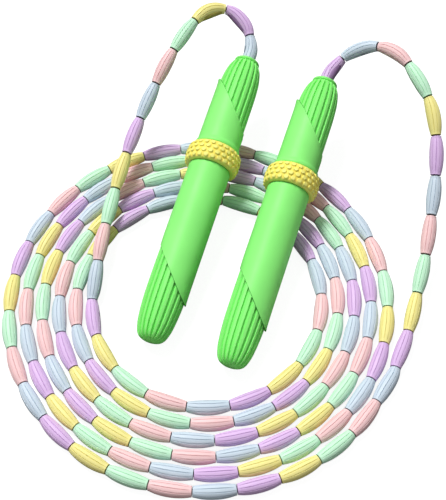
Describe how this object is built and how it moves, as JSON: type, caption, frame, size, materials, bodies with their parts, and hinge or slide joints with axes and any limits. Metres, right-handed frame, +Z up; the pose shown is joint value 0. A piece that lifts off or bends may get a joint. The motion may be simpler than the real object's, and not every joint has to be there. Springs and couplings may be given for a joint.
{
  "type": "jump rope",
  "caption": "Child's beaded skipping rope lying in a flat coil, with corn-cob handles that turn freely on the ends of the rope.",
  "frame": {"origin": "on the surface that the rope lies on, below the middle of the two handles", "axes": "+Z up; +Y along the handles, from their tips to their necks; +X from the left handle to the right one"},
  "size_m": [0.1857, 0.2349, 0.0479],
  "materials": {
    "handle_green": "satin",
    "kernel_yellow": "satin",
    "bead_purple": "satin",
    "bead_blue": "satin",
    "bead_pink": "satin",
    "bead_green": "satin",
    "bead_yellow": "satin",
    "cord_grey": "matt",
    "washer_white": "satin",
    "coil_blue": "satin"
  },
  "bodies": {
    "rope": {"rope_coil": "coil_blue", "left_lead_cord": "cord_grey", "left_knot": "cord_grey", "left_bead_1": "bead_blue", "left_bead_2": "bead_purple", "left_bead_3": "bead_yellow", "left_bead_4": "bead_green", "left_bead_5": "bead_pink", "left_bead_6": "bead_blue", "left_bead_7": "bead_purple", "left_bead_8": "bead_yellow", "left_bead_9": "bead_green", "right_lead_cord": "cord_grey", "right_knot": "cord_grey", "right_bead_1": "bead_purple", "right_bead_2": "bead_blue", "right_bead_3": "bead_pink", "right_bead_4": "bead_green", "right_bead_5": "bead_yellow", "right_bead_6": "bead_purple", "right_bead_7": "bead_blue", "right_bead_8": "bead_pink", "right_bead_9": "bead_green"},
    "left_handle": {"left_handle_core": "handle_green", "left_lower_sleeve": "handle_green", "left_upper_sleeve": "handle_green", "left_kernel_ring": "kernel_yellow", "left_neck_collar": "handle_green", "left_washer": "washer_white"},
    "right_handle": {"right_handle_core": "handle_green", "right_lower_sleeve": "handle_green", "right_upper_sleeve": "handle_green", "right_kernel_ring": "kernel_yellow", "right_neck_collar": "handle_green", "right_washer": "washer_white"}
  },
  "joints": [
    {"name": "left_handle_spin", "type": "hinge", "parent": "rope", "child": "left_handle", "pos_m": [-0.01973, 0.07376, 0.02762], "axis": [-0.0073, 0.9904, 0.1383], "continuous": true},
    {"name": "right_handle_spin", "type": "hinge", "parent": "rope", "child": "right_handle", "pos_m": [0.01973, 0.07296, 0.02762], "axis": [0.0073, 0.9904, 0.1383], "continuous": true}
  ]
}
